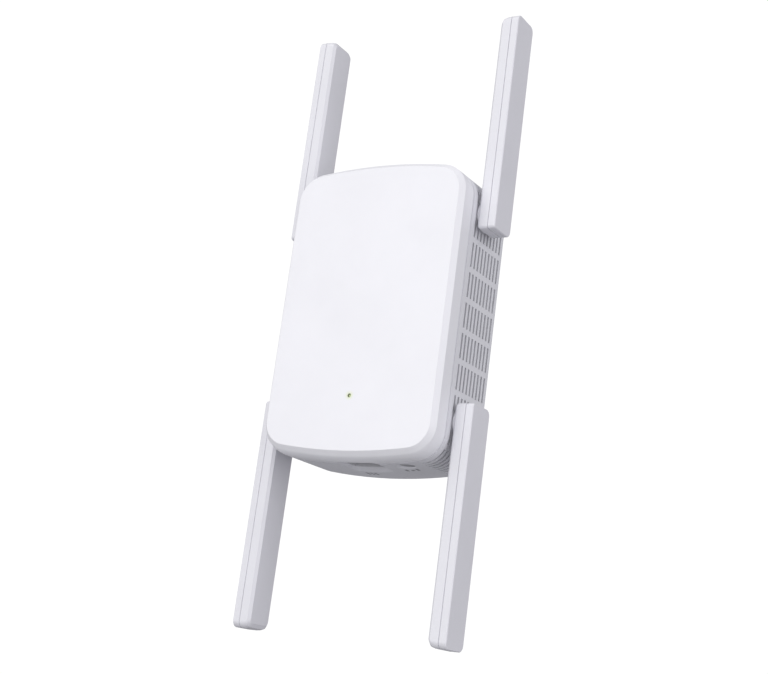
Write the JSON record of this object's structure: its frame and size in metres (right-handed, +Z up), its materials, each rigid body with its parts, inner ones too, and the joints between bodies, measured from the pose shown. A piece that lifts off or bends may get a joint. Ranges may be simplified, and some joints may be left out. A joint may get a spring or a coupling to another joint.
{
  "type": "wall-plug wireless range extender",
  "caption": "Wall-plug wireless range extender: slim vented white case with a round mains plug behind, swivelling blade antennas at the sides, a network port and a button underneath.",
  "frame": {"origin": "centre of the plug's engagement face, on the plug's axis", "axes": "+Z up along the antennas, +X to the right seen from the front, +Y from the front of the case towards the wall, along the mains pins"},
  "size_m": [0.0898, 0.0741, 0.237],
  "materials": {
    "white_shell": "fine matt texture",
    "off_white_shell": "fine matt texture",
    "antenna_white": "smooth satin",
    "plug_white": "fine matt texture",
    "label": "satin film",
    "button_white": "satin",
    "light_pipe": "clear, lit from behind",
    "nickel": "nickel plated, lightly worn",
    "spring_steel": "bright spring steel",
    "contact_bronze": "plain bronze strip",
    "contact_gold": "gold flashed",
    "board_green": "solder resist",
    "black_package": "moulded epoxy",
    "jack_plastic": "moulded",
    "transformer_tape": "polyester tape over ferrite",
    "capacitor_sleeve": "shrunk sleeve",
    "fuse_ceramic": "glazed ceramic",
    "insulator": "thin film",
    "thermal_pad": "soft pad",
    "fin_aluminium": "extruded, plain",
    "lead_black": "jacketed lead",
    "lead_red": "jacketed leads",
    "led_body": "clear epoxy"
  },
  "bodies": {
    "case": {"front_cover": "white_shell", "rear_housing": "off_white_shell", "plug_body": "plug_white", "rating_label": "label", "light_pipe": "light_pipe", "line_pin": "nickel", "neutral_pin": "nickel", "pin_contacts": "contact_bronze", "power_board": "board_green", "power_board_screws": "spring_steel", "transformer": "transformer_tape", "input_capacitor": "capacitor_sleeve", "output_capacitor": "capacitor_sleeve", "bridge_rectifier": "black_package", "fuse": "fuse_ceramic", "power_controller": "black_package", "insulating_sheet": "insulator", "power_leads": "lead_red", "main_board": "board_green", "main_board_screws": "spring_steel", "processor": "black_package", "thermal_pad": "thermal_pad", "heat_sink": "fin_aluminium", "radio_chips": "black_package", "shield_cans": "nickel", "memory_chip": "black_package", "lan_magnetics": "black_package", "network_jack": "jack_plastic", "network_jack_contacts": "contact_gold", "tact_switch": "black_package", "status_led": "led_body", "antenna_sockets": "contact_gold", "coax_lead_upper_left": "lead_black", "coax_lead_lower_left": "lead_black", "coax_lead_upper_right": "lead_black", "coax_lead_lower_right": "lead_black"},
    "button": {"button_cap": "button_white", "switch_plunger": "plug_white"},
    "antenna_upper_left": {"antenna_upper_left_outer_cap": "antenna_white", "antenna_upper_left_inner_shell": "antenna_white", "antenna_upper_left_radiator_strip": "board_green", "antenna_upper_left_retaining_clip": "spring_steel"},
    "antenna_lower_left": {"antenna_lower_left_outer_cap": "antenna_white", "antenna_lower_left_inner_shell": "antenna_white", "antenna_lower_left_radiator_strip": "board_green", "antenna_lower_left_retaining_clip": "spring_steel"},
    "antenna_upper_right": {"antenna_upper_right_outer_cap": "antenna_white", "antenna_upper_right_inner_shell": "antenna_white", "antenna_upper_right_radiator_strip": "board_green", "antenna_upper_right_retaining_clip": "spring_steel"},
    "antenna_lower_right": {"antenna_lower_right_outer_cap": "antenna_white", "antenna_lower_right_inner_shell": "antenna_white", "antenna_lower_right_radiator_strip": "board_green", "antenna_lower_right_retaining_clip": "spring_steel"}
  },
  "joints": [
    {"name": "button_press", "type": "slide", "parent": "case", "child": "button", "axis": [0, 0, 1], "range_m": [0, 0.0005], "stiffness_N_per_m": 3000},
    {"name": "antenna_upper_left_hinge", "type": "hinge", "parent": "case", "child": "antenna_upper_left", "pos_m": [-0.0374, -0.0371, 0.03925], "axis": [1, 0, 0], "range_deg": [0, 90]},
    {"name": "antenna_lower_left_hinge", "type": "hinge", "parent": "case", "child": "antenna_lower_left", "pos_m": [-0.0374, -0.0371, -0.03925], "axis": [-1, 0, 0], "range_deg": [0, 90]},
    {"name": "antenna_upper_right_hinge", "type": "hinge", "parent": "case", "child": "antenna_upper_right", "pos_m": [0.0374, -0.0371, 0.03925], "axis": [1, 0, 0], "range_deg": [0, 90]},
    {"name": "antenna_lower_right_hinge", "type": "hinge", "parent": "case", "child": "antenna_lower_right", "pos_m": [0.0374, -0.0371, -0.03925], "axis": [-1, 0, 0], "range_deg": [0, 90]}
  ]
}
